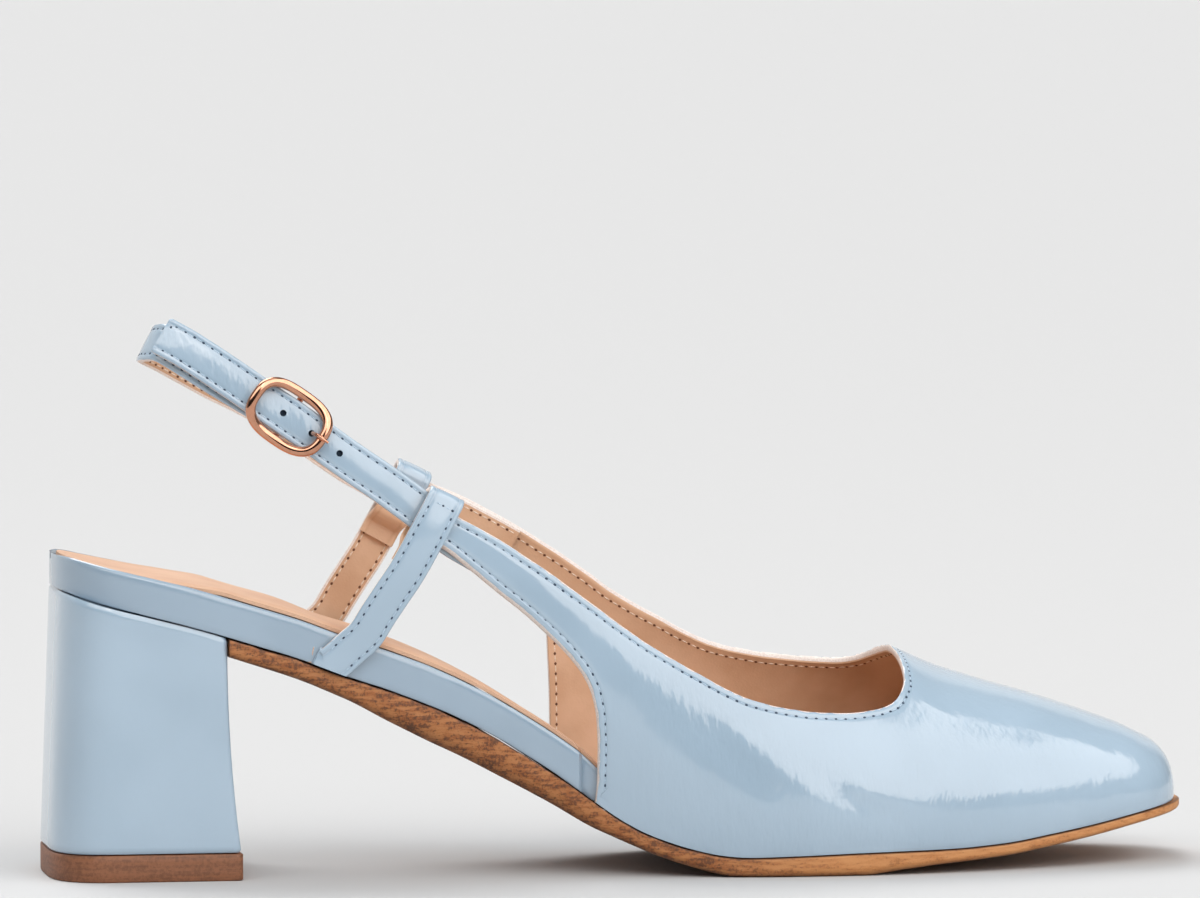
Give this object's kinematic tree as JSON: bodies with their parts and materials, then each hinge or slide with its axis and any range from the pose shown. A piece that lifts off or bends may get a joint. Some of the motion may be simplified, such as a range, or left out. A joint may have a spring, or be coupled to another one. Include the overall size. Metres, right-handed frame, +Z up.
{
  "type": "slingback sandal",
  "caption": "Slingback sandal with a block heel, a closed square toe, cut-out sides and a buckled strap through upright loops.",
  "frame": {"origin": "on the flat underside of the heel's top lift, near its middle", "axes": "+X towards the toe, -Y towards the outer side of the foot, +Z up from the floor"},
  "size_m": [0.2453, 0.074, 0.1187],
  "materials": {
    "top_lift": "matt brown rubber",
    "heel_cover": "glossy pale blue patent wrapped round the heel",
    "sole_leather": "matt tan sole leather, its edge rough in the waist",
    "band_patent": "glossy pale blue patent over the insole board",
    "sock_leather": "smooth tan lining leather",
    "upper_patent": "glossy pale blue patent, lined with tan leather",
    "strap_patent": "glossy pale blue patent, lined with tan leather, stitched along both edges",
    "buckle_metal": "polished rose gold plating"
  },
  "bodies": {
    "root": {"top_lift": "top_lift", "heel": "heel_cover", "outsole": "sole_leather", "footbed": "band_patent", "sock_lining": "sock_leather", "upper": "upper_patent", "post_lateral": "strap_patent", "post_medial": "strap_patent", "strap_lateral": "strap_patent", "sling_strap": "strap_patent", "buckle_frame": "buckle_metal", "buckle_prong": "buckle_metal"}
  },
  "joints": []
}
